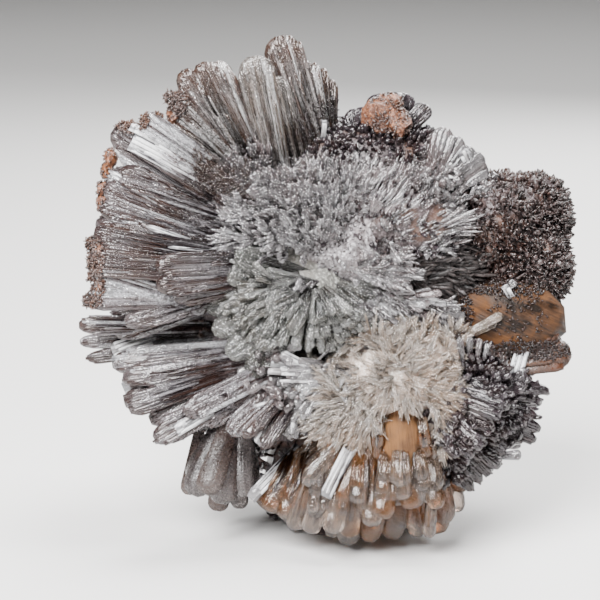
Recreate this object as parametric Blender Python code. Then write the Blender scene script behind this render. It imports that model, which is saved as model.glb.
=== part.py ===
"""Creedite crystal cluster: one palm-sized specimen of bladed crystals that grew together in radiating sprays.

Blender's unit is the metre. The show face leans back, so every place on it is given on a leaning plane, in
millimetres: how far right, how far up along the lean, and how deep behind the face. The specimen rests on the
flat broken patch under its back. Its right is +X, and the show face looks towards -Y.
"""

import math
import random
from typing import NamedTuple

import bmesh
import bpy
from mathutils import Matrix, Vector

MM = 0.001
LEAN = math.radians(12)  # how far the show face leans back from upright
REST_POINT = Vector((5, 19, -1.6))  # the middle of the resting face, from the lowest middle point of the show face
RIGHT = Vector((1, 0, 0))
UP_FACE = Vector((0, math.sin(LEAN), math.cos(LEAN)))
DEEPER = Vector((0, math.cos(LEAN), -math.sin(LEAN)))

CLUSTER_COLOUR = (0.52, 0.49, 0.50, 1)
CLUSTER_ROUGHNESS = 0.35

# A crystal's sections from root to tip: share of its length, of its width and of its thickness.
TABLET = ((0.0, 0.62, 0.80), (0.86, 1.0, 1.0), (1.0, 0.45, 0.35))
NEEDLE = ((0.0, 0.70, 0.70), (0.70, 1.0, 1.0), (1.0, 0.0, 0.0))
FLAT_FACED = ((-0.5, -0.5), (0.5, -0.5), (0.5, 0.5), (-0.5, 0.5))  # a tablet's corners
RIDGED = ((-0.5, 0.0), (0.0, -0.5), (0.5, 0.0), (0.0, 0.5))  # a needle's corners


class Spray(NamedTuple):
    """A row of crystals that fan out from one root point, with turns and tilts in degrees."""

    root: tuple  # right, up, deep
    turns: tuple  # from the first crystal to the last on the show face, 0 to the right and 90 up
    tilt: float  # out towards the viewer
    count: int
    reach: tuple  # the first crystal's length, the middle one's if three are given, and the last one's
    width: float
    thickness: float
    sections: tuple = TABLET
    corners: tuple = FLAT_FACED
    uneven: float = 0.08  # share of its length that a crystal may fall short by
    wander: float = 3.0  # degrees that a crystal may stray from its place in the row
    roll: float = 16.0  # degrees that a crystal may be rolled about its own length


def needles(root, turns, tilt, count, reach, width, thickness, wander=4.0):
    """A spray of pointed crystals with a ridge along each face."""
    return Spray(root, turns, tilt, count, reach, width, thickness, NEEDLE, RIDGED, 0.1, wander, 45.0)


class Blade(NamedTuple):
    """One flat crystal from its root to its tip, each given as right, up and deep."""

    root: tuple
    tip: tuple
    width: float
    thickness: float


class Mass(NamedTuple):
    """A rough boulder that stands for crystals too closely grown to part."""

    centre: tuple  # right, up, deep
    radii: tuple
    lumpiness: float


HEART_OF_CLUSTER = Mass((2, 39, 11), (25, 27, 12.5), 0.05)
MASSES = (
    Mass((5, 11.5, 17.5), (15, 14.5, 13), 0.10),  # the foot, cut flat
    Mass((14, 27, 5), (15, 15, 10), 0.06),
    Mass((9, 51, 1), (14, 9, 9), 0.07),  # under the crown
    Mass((14, 28, 1), (11, 10, 8.5), 0.07),  # under the creamy dome
    Mass((9, 61, 10), (14, 8, 8), 0.10),
    Mass((29, 51.5, 8), (8.5, 8.5, 8.5), 0.10),  # this and the next two, the lump at the right
    Mass((34, 45, 9.5), (7.5, 8, 8), 0.10),
    Mass((35.5, 53.5, 10), (6, 6.5, 6.5), 0.12),
    Mass((31, 36, 9), (9, 10, 8), 0.06),
    Mass((-14, 48, 9), (17, 15, 9), 0.05),
)

WEST_FAN = (
    Spray((-2, 45.6, 8), (133, 206), -14, 8, (33, 38.5, 36), 7.0, 4.6),
    Spray((-2, 45.6, 5), (141, 153), -9, 3, (37.5, 40.5), 6.0, 3.6, wander=1.0),
    Spray((-2, 45.6, 3), (136, 204), -4, 9, (34, 37, 37), 6.6, 3.8),
    Spray((-2, 45.6, 0.5), (140, 198), 9, 7, (33.5, 33, 34), 6.0, 3.2),
    Spray((-2, 45, 0), (180, 196), 20, 2, (30, 24), 6.4, 3.0),
)
NORTH_FANS = (
    Spray((-6.9, 56.3, 6), (114, 146), -15, 4, (21, 24, 22), 5.5, 3.6),
    Spray((-6.9, 61, 8), (62, 98), -16, 3, (14, 17, 16), 5.0, 3.4),
)
NORTH_BLADES = (
    Blade((-8, 57, 5), (-22.2, 76.8, 3.2), 5.0, 2.8),
    Blade((-8, 57, 4), (-19.2, 78.0, 2.6), 4.6, 2.8),
    Blade((-8, 57, 5), (-16.8, 78.3, 3.0), 4.8, 2.8),
    Blade((-8, 57, 5), (-14.4, 75.8, 4.2), 4.0, 2.6),
    Blade((-8, 57, 5), (-24.8, 73.2, 2.8), 3.0, 2.4),
    Blade((-8, 57, 5), (-24.0, 69.2, 4.2), 3.2, 2.4),
    Blade((-6, 58, 5), (-10.6, 79.2, 2.8), 6.2, 2.8),
    Blade((-3, 60, 5.4), (-7.0, 76.0, 4.0), 4.0, 2.2),
    Blade((1, 60, 6), (-6.6, 82.6, 4.6), 6.8, 3.0),
    Blade((1, 61, 6.6), (-3.4, 79.0, 6.2), 5.2, 2.8),
    Blade((2, 64, 7), (-1.4, 78.5, 5.9), 3.0, 2.0),
    Blade((2, 64, 7), (0.9, 77.6, 6.6), 2.0, 2.0),
    Blade((2.5, 64, 7.5), (2.2, 75.8, 7.4), 2.0, 1.8),
)
SOUTH_WEST_BLADES = (
    Spray((1, 32.3, 7), (188, 232), -18, 5, (33, 31, 29), 5.5, 4.0),
    Spray((1, 32.3, 2), (182, 212), -1, 5, (38.5, 34.5, 31.5), 4.6, 4.0, wander=1.5),
    Spray((1, 32.3, 0.5), (204, 240), 20, 5, (28.5, 23.5, 19.5), 3.8, 2.8),
    Spray((-13, 25, 6), (244, 276), 11, 4, (19.5, 19.5, 19), 4.8, 3.8),
    Spray((-13, 24, 7), (234, 284), -20, 4, (18, 17), 4.8, 3.8),
)
SOUTH_SKIRT = (
    Spray((13, 27.5, 5), (222, 302), -10, 9, (30.5, 29.5, 26), 5.0, 3.4),
    Spray((13, 27.5, 1), (218, 294), -1, 10, (31.5, 29.8, 26.5), 4.8, 3.0),
    Spray((13, 27.5, -1), (222, 290), 12, 8, (25, 23.5, 21), 4.6, 2.8),
)
SOUTH_EAST_BLADES = (
    Spray((13, 27.5, 7), (304, 352), -16, 6, (26, 26, 28), 4.2, 3.6),
    Spray((13, 27.5, 2), (300, 354), -1, 7, (25, 25, 27.5), 3.8, 3.2),
    Spray((13, 27.5, -1), (300, 352), 15, 6, (18.5, 19, 21), 3.4, 2.8),
    Spray((19.5, 28, 8), (4, 42), -16, 4, (22.5, 22), 5.5, 3.6),
    Spray((19.5, 28, 2), (6, 40), -1, 4, (22, 20.5), 5.5, 3.2),
)
CROWN = (
    needles((7.5, 45, -1), (74, 150), 8, 9, (21, 19.5, 21), 3.6, 2.8),
    needles((7.5, 45, -1), (8, 72), 4, 8, (22.5, 20.5, 20), 3.6, 2.8),
    needles((7.5, 45, -3), (5, 150), 16, 9, (20, 19.5, 20), 4.0, 3.2),
    needles((6.5, 46, -3), (0, 165), 32, 7, (14, 14, 14), 4.6, 4.0),
    needles((5, 47, -3), (20, 200), 58, 4, (9.5, 9.5), 5.0, 4.4),
)
ROSETTE = (
    Spray((1.1, 44, -0.5), (205, 350), 21, 9, (16.5, 13.5, 15), 4.0, 2.4),
    Spray((1.1, 44, -0.5), (210, 340), 40, 5, (12, 11, 12), 3.6, 2.2),
)
CREAMY_DOME = (
    needles((14.5, 28, 0), (-20, 60), 22, 5, (14, 14), 4.0, 3.2),
    needles((13, 27.5, 0), (110, 215), 24, 6, (13, 14), 4.0, 3.2),
    needles((13.5, 28, 0), (0, 330), 42, 9, (13, 12.5, 13), 4.6, 4.0),
    needles((13.5, 28, 0), (0, 300), 72, 3, (10.5, 10.5), 5.0, 4.6),
)
TOP_RIGHT = (
    needles((9, 60, 8), (68, 112), 2, 5, (12.5, 11.5), 3.6, 3.2, wander=8),
    needles((9, 60, 11), (50, 130), -22, 5, (12, 12), 4.4, 3.8, wander=8),
    needles((12, 65, 8), (30, 150), 5, 5, (9.2, 9.2, 8), 3.8, 3.8, wander=8),
    Spray((17.5, 55, 3), (26, 80), 2, 5, (12.5, 13), 3.6, 2.6),
    needles((32, 50.5, 8), (-40, 120), 4, 8, (10.5, 10.5), 4.4, 4.0, wander=8),
    needles((31, 50, 7), (-60, 100), 40, 4, (10.5, 10.5), 4.6, 4.2, wander=8),
    needles((31.5, 50, 10), (-60, 120), -30, 5, (11, 11), 4.8, 4.4, wander=8),
)
BACK_SPRAYS = (
    Spray((-8, 45, 8), (125, 240), -36, 8, (27, 28, 25), 6.4, 4.8),
    Spray((14, 42, 8), (-62, 62), -36, 8, (23, 25, 23), 5.6, 4.6),
    Spray((3, 52, 8), (66, 118), -36, 4, (23, 23), 5.8, 4.6),
    Spray((-8, 42, 8), (20, 340), -62, 6, (22, 22), 7.2, 6.2),
    Spray((12, 40, 8), (-150, 150), -62, 6, (21, 21), 7.0, 6.0),
)

SLIVERS_KEPT = 0.9  # share of the joined faces left once the needless slivers along the joins are merged
FLOOR_SIDE = 120  # the block that takes away all below the resting face
FLOOR_DEPTH = 30


def on_face(place):
    """The point this far right, up the lean and behind the show face."""
    right, up, deep = place
    return (RIGHT * right + UP_FACE * up + DEEPER * deep - REST_POINT) * MM


def heading(turn, tilt):
    """The direction at this turn on the show face, tilted out towards the viewer."""
    turn, tilt = math.radians(turn), math.radians(tilt)
    flat = RIGHT * math.cos(turn) + UP_FACE * math.sin(turn)
    return flat * math.cos(tilt) - DEEPER * math.sin(tilt)


def between(values, share):
    """The value at this share of the way along a line through two values or a curve through three."""
    if len(values) == 2:
        first, last = values
        return first + (last - first) * share
    first, middle, last = values
    return first * (1 - share) * (1 - 2 * share) + middle * 4 * share * (1 - share) + last * share * (2 * share - 1)


def crystal(root, towards, length, width, thickness, roll, sections, corners):
    """One closed crystal from root along towards, its sections joined by flat sides."""
    across = towards.cross(DEEPER)
    if across.length < 0.2:
        across = towards.cross(UP_FACE)
    across = Matrix.Rotation(roll, 3, towards) @ across.normalized()
    out = towards.cross(across).normalized()
    bm = bmesh.new()
    rings = []
    for along, wide, thick in sections:
        centre = root + towards * (length * along)
        places = [centre + across * (x * width * wide) + out * (y * thickness * thick) for x, y in corners]
        rings.append([bm.verts.new(place) for place in (places if wide else [centre])])
    for lower, upper in zip(rings, rings[1:]):
        for i, corner in enumerate(lower):
            following = lower[(i + 1) % len(lower)]
            if len(upper) == 1:
                bm.faces.new((corner, following, upper[0]))
            else:
                bm.faces.new((corner, following, upper[(i + 1) % len(upper)], upper[i]))
    bm.faces.new(rings[0])
    if len(rings[-1]) > 1:
        bm.faces.new(rings[-1])
    bmesh.ops.recalc_face_normals(bm, faces=bm.faces)
    return bm


def crystals_of(spray):
    """The crystals of one spray, each a little out of its even place."""
    chance = random.Random(f"{spray.root}{spray.turns}{spray.tilt}")
    for i in range(spray.count):
        share = (i + 0.5) / spray.count
        towards = heading(between(spray.turns, share) + chance.uniform(-spray.wander, spray.wander),
                          spray.tilt + chance.uniform(-spray.wander, spray.wander))
        length = between(spray.reach, share) * MM * (1 - chance.uniform(0, spray.uneven))
        width = spray.width * MM * chance.uniform(0.85, 1.15)
        thickness = spray.thickness * MM * chance.uniform(0.85, 1.15)
        roll = math.radians(chance.uniform(-spray.roll, spray.roll))
        yield crystal(on_face(spray.root), towards, length, width, thickness, roll, spray.sections,
                      spray.corners)


def blade_crystal(blade):
    """The crystal of one blade."""
    root = on_face(blade.root)
    along = on_face(blade.tip) - root
    return crystal(root, along.normalized(), along.length, blade.width * MM, blade.thickness * MM, 0, TABLET,
                   FLAT_FACED)


def boulder(mass):
    """The closed faceted lump of one mass."""
    chance = random.Random(f"{mass.centre}")
    bm = bmesh.new()
    bmesh.ops.create_icosphere(bm, subdivisions=2, radius=1.0)
    for vert in bm.verts:
        place = vert.co * (1 + chance.uniform(-mass.lumpiness, mass.lumpiness))
        vert.co = on_face([middle + along * radius
                           for middle, along, radius in zip(mass.centre, place, mass.radii)])
    bmesh.ops.recalc_face_normals(bm, faces=bm.faces)
    return bm


def made(name, bm, collection):
    """A Blender object with the finished mesh, linked to the collection."""
    mesh = bpy.data.meshes.new(name)
    bm.to_mesh(mesh)
    bm.free()
    obj = bpy.data.objects.new(name, mesh)
    collection.objects.link(obj)
    return obj


def as_operand(obj):
    """Marks a shape that is only joined to or cut from the cluster."""
    obj.hide_render = True
    obj.display_type = "WIRE"


def creedite():
    """The pale violet-grey of the crystals."""
    material = bpy.data.materials.new("creedite")
    material.use_nodes = True
    shader = material.node_tree.nodes["Principled BSDF"]
    shader.inputs["Base Color"].default_value = CLUSTER_COLOUR
    shader.inputs["Roughness"].default_value = CLUSTER_ROUGHNESS
    shader.inputs["Metallic"].default_value = 0.0
    return material


def grow_together(cluster):
    """Joins every crystal and mass to the cluster in one solid."""
    grown = bpy.data.collections.new("grown_together")
    bpy.context.scene.collection.children.link(grown)
    for number, mass in enumerate(MASSES):
        as_operand(made(f"mass_{number}", boulder(mass), grown))
    for number, blade in enumerate(NORTH_BLADES):
        as_operand(made(f"blade_{number}", blade_crystal(blade), grown))
    sprays = (WEST_FAN + NORTH_FANS + SOUTH_WEST_BLADES + SOUTH_SKIRT + SOUTH_EAST_BLADES + CROWN + ROSETTE
              + CREAMY_DOME + TOP_RIGHT + BACK_SPRAYS)
    for number, spray in enumerate(sprays):
        for place, bm in enumerate(crystals_of(spray)):
            as_operand(made(f"crystal_{number}_{place}", bm, grown))
    join = cluster.modifiers.new("grow_together", "BOOLEAN")
    join.operation = "UNION"
    join.operand_type = "COLLECTION"
    join.collection = grown
    join.solver = "EXACT"
    slivers = cluster.modifiers.new("slivers_merged", "DECIMATE")
    slivers.ratio = SLIVERS_KEPT


def cut_flat(cluster):
    """Cuts the cluster off flat where it rests."""
    bm = bmesh.new()
    bmesh.ops.create_cube(bm, size=MM)
    bmesh.ops.scale(bm, verts=bm.verts, vec=(FLOOR_SIDE, FLOOR_SIDE, FLOOR_DEPTH))
    floor = made("below_the_resting_face", bm, bpy.context.scene.collection)
    floor.location.z = -FLOOR_DEPTH * MM / 2
    as_operand(floor)
    rest = cluster.modifiers.new("resting_face", "BOOLEAN")
    rest.operation = "DIFFERENCE"
    rest.object = floor
    rest.solver = "EXACT"


def build():
    for obj in list(bpy.data.objects):
        bpy.data.objects.remove(obj)
    cluster = made("crystal_cluster", boulder(HEART_OF_CLUSTER), bpy.context.scene.collection)
    cluster.data.materials.append(creedite())
    grow_together(cluster)
    cut_flat(cluster)


build()
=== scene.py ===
import math
import random

import bmesh
import bpy
import numpy as np
from mathutils import Matrix, Vector
from mathutils.bvhtree import BVHTree


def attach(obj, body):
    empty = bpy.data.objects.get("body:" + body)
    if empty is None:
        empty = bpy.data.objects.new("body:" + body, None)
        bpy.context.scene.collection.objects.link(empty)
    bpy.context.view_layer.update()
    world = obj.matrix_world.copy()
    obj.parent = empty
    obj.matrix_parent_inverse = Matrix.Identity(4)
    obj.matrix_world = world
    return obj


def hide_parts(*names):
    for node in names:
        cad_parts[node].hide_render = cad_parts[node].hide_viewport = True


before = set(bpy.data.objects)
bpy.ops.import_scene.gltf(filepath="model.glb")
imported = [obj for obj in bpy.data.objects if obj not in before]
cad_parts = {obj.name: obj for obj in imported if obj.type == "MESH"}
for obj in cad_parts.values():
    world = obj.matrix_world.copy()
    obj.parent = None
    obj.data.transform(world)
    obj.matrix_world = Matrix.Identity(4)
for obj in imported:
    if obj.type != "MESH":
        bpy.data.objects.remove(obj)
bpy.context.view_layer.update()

# ---- Dark druse and broken foot -------------------------------------------------------------------------
# The close-grown lumps that every spray roots in. Between the blades they show as dark purple-brown druse,
# and underneath as the foot that the cluster was broken off by and rests on.

MM = 0.001
LEAN = math.radians(12)
RIGHT = Vector((1, 0, 0))
UP_FACE = Vector((0, math.sin(LEAN), math.cos(LEAN)))
DEEPER = Vector((0, math.cos(LEAN), -math.sin(LEAN)))
REST_POINT = Vector((5, 19, -1.6))
FACE_AXES = np.array([RIGHT, UP_FACE, DEEPER])

HEART_LUMP = ((2, 39, 11), (25, 27, 12.5), 0.05)  # middle, radii, roughness
FOOT_LUMP = ((5, 11.5, 17.5), (15, 14.5, 13), 0.10)
SOUTH_LUMP = ((14, 27, 5), (15, 15, 10), 0.06)
CROWN_LUMP = ((9, 51, 1), (14, 9, 9), 0.07)
DOME_LUMP = ((14, 28, 2), (11, 10, 7.5), 0.07)
TOP_LUMP = ((9, 61, 10), (14, 8, 8), 0.10)
RIGHT_LUMP = ((29, 51.5, 8), (8.5, 8.5, 8.5), 0.16)
RIGHT_LOW_LUMP = ((34, 45, 9.5), (7.5, 8, 8), 0.16)
RIGHT_TOP_LUMP = ((35.5, 53.5, 10), (6, 6.5, 6.5), 0.20)
RUST_LUMP = ((31, 36, 9), (9, 10, 8), 0.06)
WEST_LUMP = ((-14, 48, 9), (17, 15, 9), 0.05)
LUMPS = (HEART_LUMP, FOOT_LUMP, SOUTH_LUMP, CROWN_LUMP, DOME_LUMP, TOP_LUMP, RIGHT_LUMP,
         RIGHT_LOW_LUMP, RIGHT_TOP_LUMP, RUST_LUMP, WEST_LUMP)
LUMP_SHRINK = 0.97  # the druse grown on a lump brings it back to its full size


def on_face(places):
    """Points on the leaning show face, given as right, up and deep in millimetres, in the world."""
    return (np.asarray(places, float) @ FACE_AXES - np.array(REST_POINT)) * MM


def bare():
    """Leaves nothing selected, so that an operator reaches only what is made next."""
    bpy.ops.object.select_all(action="DESELECT")


class Level:
    """A number that varies over a finish; sums on it add Math nodes."""

    def __init__(self, finish, socket):
        self.finish = finish
        self.socket = socket

    def maths(self, operation, first, second):
        return self.finish.add("Math", {"operation": operation}, {0: first, 1: second})

    def __add__(self, other):
        return self.maths("ADD", self, other)

    __radd__ = __add__

    def __sub__(self, other):
        return self.maths("SUBTRACT", self, other)

    def __rsub__(self, other):
        return self.maths("SUBTRACT", other, self)

    def __mul__(self, other):
        return self.maths("MULTIPLY", self, other)

    __rmul__ = __mul__

    def over(self, low, high):
        """0 where this is at low or under, 1 where it is at high or over."""
        return self.finish.add("MapRange", {}, {"Value": self, "From Min": low, "From Max": high})


class Finish:
    """A material whose nodes all come from add."""

    def __init__(self, name):
        self.material = bpy.data.materials.new(name)
        self.material.use_nodes = True
        self.tree = self.material.node_tree
        self.shader = self.tree.nodes["Principled BSDF"]

    def feed(self, socket, value):
        if isinstance(value, Level):
            self.tree.links.new(value.socket, socket)
        elif socket.type == "RGBA":
            socket.default_value = (*value, 1)
        else:
            socket.default_value = value

    def add(self, kind, settings, inputs, out=0):
        """Adds a node, sets it up, feeds its sockets and gives back one of its outputs."""
        node = self.tree.nodes.new("ShaderNode" + kind)
        for name, value in settings.items():
            setattr(node, name, value)
        for key, value in inputs.items():
            self.feed(node.inputs[key], value)
        return Level(self, node.outputs[out])

    def blend(self, share, first, second):
        """The first colour where share is 0 and the second where it is 1."""
        return self.add("Mix", {"data_type": "RGBA"}, {0: share, 6: first, 7: second}, out=2)

    def grain(self, where, size, detail=3.0):
        """Cloudy noise from 0 to 1, this many features to a unit of where."""
        return self.add("TexNoise", {}, {"Vector": where, "Scale": size, "Detail": detail})

    def surface(self, height, strength, depth, sockets):
        """Bumps the surface by this depth, feeds the shader's sockets and gives back the material."""
        bump = self.add("Bump", {}, {"Height": height, "Strength": strength, "Distance": depth * MM})
        for name, value in {**sockets, "Normal": bump}.items():
            self.feed(self.shader.inputs[name], value)
        return self.material


def druse_finish(name, dark, pale, rusty, rust):
    """Close-grown crystals too fine to part: their colour follows the bump, darkened in its hollows as painted
    shade, and pale and glittering on the points.
    """
    finish = Finish(name)
    place = finish.add("TexCoord", {}, {}, out="Object")
    fine = finish.grain(place, 2200, 4)
    broad = finish.grain(place, 160)
    # Painted shade: the noise that raises the bump also darkens its hollows.
    colour = finish.blend(fine.over(0.48, 0.70), dark, pale)
    colour = finish.blend(broad.over(0.5, 0.62) * rust, colour, rusty)
    return finish.surface(fine, 0.9, 0.4, {
        "Base Color": colour, "Roughness": fine.over(0.9, 0.2) * 0.4 + 0.15,
        "Coat Weight": 0.2, "Coat Roughness": 0.2})


def lumps_joined(name, lumps, shrink=1, cut=False):
    """One mesh of rough lumps; cut makes it flat where the cluster rests."""
    made = []
    for lump in lumps:
        middle, radii, roughness = lump
        bare()
        bpy.ops.mesh.primitive_ico_sphere_add(subdivisions=2, radius=1)
        ball = bpy.context.object
        chance = random.Random(f"{middle}")
        size = 1 if lump is FOOT_LUMP else shrink
        for vert in ball.data.vertices:
            rough = 1 + chance.uniform(-roughness, roughness)
            vert.co = on_face([m + along * rough * radius * size
                               for m, along, radius in zip(middle, vert.co, radii)])
        made.append(ball)
    for ball in made:
        ball.select_set(True)
    bpy.context.view_layer.objects.active = made[0]
    if len(made) > 1:
        bpy.ops.object.join()
    joined = bpy.context.object
    joined.name = name
    bpy.ops.object.mode_set(mode="EDIT")
    bpy.ops.mesh.select_all(action="SELECT")
    bpy.ops.mesh.normals_make_consistent(inside=False)
    if cut:
        bpy.ops.mesh.bisect(plane_co=(0, 0, 0), plane_no=(0, 0, 1), clear_inner=True, use_fill=True)
    bpy.ops.object.mode_set(mode="OBJECT")
    return joined


ground = []  # what finer crystals can be laid on


def grown_on(obj, material):
    """Gives a finished piece its material and its place on the cluster."""
    obj.data.materials.clear()
    obj.data.materials.append(material)
    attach(obj, "root")
    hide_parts("crystal_cluster")
    ground.append(BVHTree.FromObject(obj, bpy.context.evaluated_depsgraph_get()))


dark_druse = druse_finish(
    "dark_druse", dark=(0.03, 0.02, 0.02), pale=(0.16, 0.125, 0.13), rusty=(0.10, 0.045, 0.025), rust=0.6)
grown_on(lumps_joined("dark_druse_and_foot", LUMPS, LUMP_SHRINK, cut=True), dark_druse)

# ---- West fan -------------------------------------------------------------------------------------------
# Long flat plates that open like a fan over the whole left side. Each is a tongue of parallel laths grown
# together, with shorter laths lying along it.


def headings(turns, tilts):
    """Directions at these turns on the show face, tilted out towards the viewer, all in degrees."""
    turns, tilts = np.radians(turns), np.radians(tilts)
    flat = np.cos(tilts)
    return np.stack([np.cos(turns) * flat, np.sin(turns) * flat, -np.sin(tilts)], axis=-1) @ FACE_AXES


def between(values, share):
    """The value at this share of the way along a line through two values or a curve through three."""
    if len(values) == 2:
        return values[0] + (values[1] - values[0]) * share
    first, middle, last = values
    return (first * (1 - share) * (1 - 2 * share) + middle * 4 * share * (1 - share)
            + last * share * (2 * share - 1))


def spray(root, turns, tilt, count, reach, width, thickness, uneven=0.08, wander=3.0, roll=16.0):
    """The main crystals of one fan-shaped row, at the places that the solid gives them.

    The root is right, up and deep in millimetres, as are the sizes; turns and tilt are in degrees."""
    chance = random.Random(f"{root}{turns}{tilt}")
    crystals = []
    for i in range(count):
        share = (i + 0.5) / count
        turn = between(turns, share) + chance.uniform(-wander, wander)
        towards = Vector(headings(turn, tilt + chance.uniform(-wander, wander)))
        length = between(reach, share) * (1 - chance.uniform(0, uneven))
        wide = width * chance.uniform(0.85, 1.15)
        thick = thickness * chance.uniform(0.85, 1.15)
        across = towards.cross(DEEPER)
        if across.length < 0.2:
            across = towards.cross(UP_FACE)
        across = Matrix.Rotation(math.radians(chance.uniform(-roll, roll)), 3, towards) @ across.normalized()
        crystals.append((on_face(root), np.array(towards), np.array(across),
                         length * MM, wide * MM, thick * MM))
    return crystals


EYE_OUT = 320  # millimetres from the show face
EYE = on_face((-2.9, 39.5, -EYE_OUT))  # straight in front of it


def met_from_front(right, up):
    """Where the cluster is first met behind this place on the show face, and the way it faces there."""
    towards = Vector(on_face((right, up, 0)) - EYE)
    hits = [tree.ray_cast(Vector(EYE), towards, 1.0) for tree in ground]
    hits = [hit for hit in hits if hit[0] is not None]
    if not hits:
        return None
    place, normal, _, _ = min(hits, key=lambda hit: hit[3])
    return np.array(place), np.array(normal)


def crystal_between(base, tip, wide, thick):
    """One crystal from one point to another, its flat side towards the viewer."""
    towards = tip - base
    length = np.linalg.norm(towards)
    towards = towards / length
    across = np.cross(towards, np.array(DEEPER))
    return base, towards, across / np.linalg.norm(across), length, wide * MM, thick * MM


def laid(rows, sunk=0.6, proud=0.8):
    """Crystals laid on the cluster, each a base and a tip, given as right and up, its width and its thickness.

    The bases are sunk and the tips stand proud by these many millimetres."""
    crystals = []
    for base, tip, wide, thick in rows:
        line = [np.array(base) + (np.array(tip) - np.array(base)) * share for share in np.linspace(0, 1, 7)]
        found = [hit[0] for hit in (met_from_front(*place) for place in line) if hit]
        deeps = [((point / MM + np.array(REST_POINT)) @ FACE_AXES.T)[2] for point in found]
        if not deeps:
            continue
        first, last = deeps[0] + sunk, np.median(deeps) - proud
        ends = []
        for place, deep in ((base, first), (tip, last)):
            flat = on_face((*place, 0))
            ends.append(EYE + (flat - EYE) * (EYE_OUT + deep) / EYE_OUT)
        crystals.append(crystal_between(*ends, wide, thick))
    return crystals


def edit(obj, picked):
    """Enters edit mode with only the points selected for which picked says yes."""
    bare()
    obj.select_set(True)
    bpy.context.view_layer.objects.active = obj
    bpy.ops.object.mode_set(mode="EDIT")
    bpy.ops.mesh.select_mode(type="VERT")
    bpy.ops.mesh.select_all(action="DESELECT")
    mesh = bmesh.from_edit_mesh(obj.data)
    for vert in mesh.verts:
        vert.select = picked(vert.co)
    mesh.select_flush(True)
    bmesh.update_edit_mesh(obj.data)


CLOSE = 0.001  # of a mould's length


def raise_tip(obj, steps):
    """Extrudes the top in steps, each a rise, a sideways shift and how much narrower and thinner."""
    top = max(vert.co.z for vert in obj.data.vertices)
    edit(obj, lambda co: co.z > top - CLOSE)
    for rise, shift, narrow, thin in steps:
        bpy.ops.mesh.extrude_region_move(TRANSFORM_OT_translate={"value": (shift, 0, rise)})
        bpy.ops.transform.resize(value=(narrow, thin, 1))
    bpy.ops.object.mode_set(mode="OBJECT")


def resize_part(obj, picked, narrow, thin):
    """Draws in the part of a crystal that picked says yes to."""
    edit(obj, picked)
    bpy.ops.transform.resize(value=(narrow, thin, 1))
    bpy.ops.object.mode_set(mode="OBJECT")


def lifted(obj):
    """A modelled crystal as arrays: its points, its faces' corners and each face's first corner."""
    points = np.array([vert.co[:] for vert in obj.data.vertices])
    faces = sorted(tuple(face.vertices) for face in obj.data.polygons)  # extrude leaves them in any order
    corners = np.concatenate(faces)
    starts = np.cumsum([0] + [len(face) for face in faces[:-1]])
    bpy.data.objects.remove(obj)
    return points, corners, starts


def prism(sides, height):
    """An upright prism one unit wide, a flat side towards the viewer."""
    bare()
    bpy.ops.mesh.primitive_cylinder_add(vertices=sides, radius=0.5, depth=height, location=(0, 0, height / 2),
                                        rotation=(0, 0, math.pi / sides))
    bpy.ops.object.transform_apply(location=True, rotation=True)
    made = bpy.context.object
    made.scale = (1 / made.dimensions.x, 1 / made.dimensions.y, 1)
    bpy.ops.object.transform_apply(scale=True)
    return made


def crystal_mould(sides, height, tip, root=None):
    """A crystal one unit wide and thick: a prism, the steps of its tip, and how much its root is drawn in."""
    crystal = prism(sides, height)
    raise_tip(crystal, tip)
    if root:
        resize_part(crystal, lambda co: co.z < CLOSE, *root)
    return lifted(crystal)


def grain_mould():
    """A stubby crystal: a block whose top is drawn in to a short ridge."""
    bare()
    bpy.ops.mesh.primitive_cube_add(size=1, location=(0, 0, 0.5))
    bpy.ops.object.transform_apply(location=True)
    grain = bpy.context.object
    resize_part(grain, lambda co: co.z > 0.5, 0.75, 0.25)
    resize_part(grain, lambda co: co.z < 0.5, 0.7, 0.7)
    return lifted(grain)


# A flat tongue with a rounded tip, and two flat laths with a chisel tip that slants one way and the other.
TONGUE = crystal_mould(8, 0.84, ((0.08, 0, 0.92, 0.95), (0.05, 0, 0.75, 0.85), (0.03, 0, 0.5, 0.6)),
                       (0.62, 0.8))
LATHS = [crystal_mould(6, 0.94, ((0.06, slant, 0.55, 0.35),), (0.7, 0.8)) for slant in (0.1, -0.1)]
# A fine needle cut to a wedge, a clear sharp-edged plate broken off at a slant, and a stout blunt crystal.
STRAND = crystal_mould(4, 0.88, ((0.12, 0.1, 0.25, 0.5),))
PLATE = crystal_mould(4, 0.9, ((0.1, 0.12, 0.85, 0.6),))
TOOTH = crystal_mould(6, 0.62, ((0.25, 0, 0.72, 0.7), (0.13, 0.06, 0.45, 0.4)), (0.6, 0.6))
GRAIN = grain_mould()

CORE_LENGTH, CORE_WIDTH, CORE_THICKNESS = 0.985, 0.95, 0.9  # a tongue's core, as shares of the tongue
ROOTS_TOGETHER = 0.7  # how far apart tongues side by side are at their roots, as a share of that at their tips
OVERLAP = 1.35  # how much wider tongues side by side are than their share of the crystal
SUNK = 0.25  # the share of a grain that is under the surface
OFF_THE_GROUND = 0.3  # millimetres between a grain and the ground
BURIED = 0.92  # a place closer than this to the middle of another lump gets no crust; 1 is on its surface
STRIA_SHIFT = (100, 37)  # how far a crystal's shade slides its striae, so that no two crystals match
SECOND_DRAW = 7.31  # turns a crystal's shade into a second number that doesn't follow it


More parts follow.
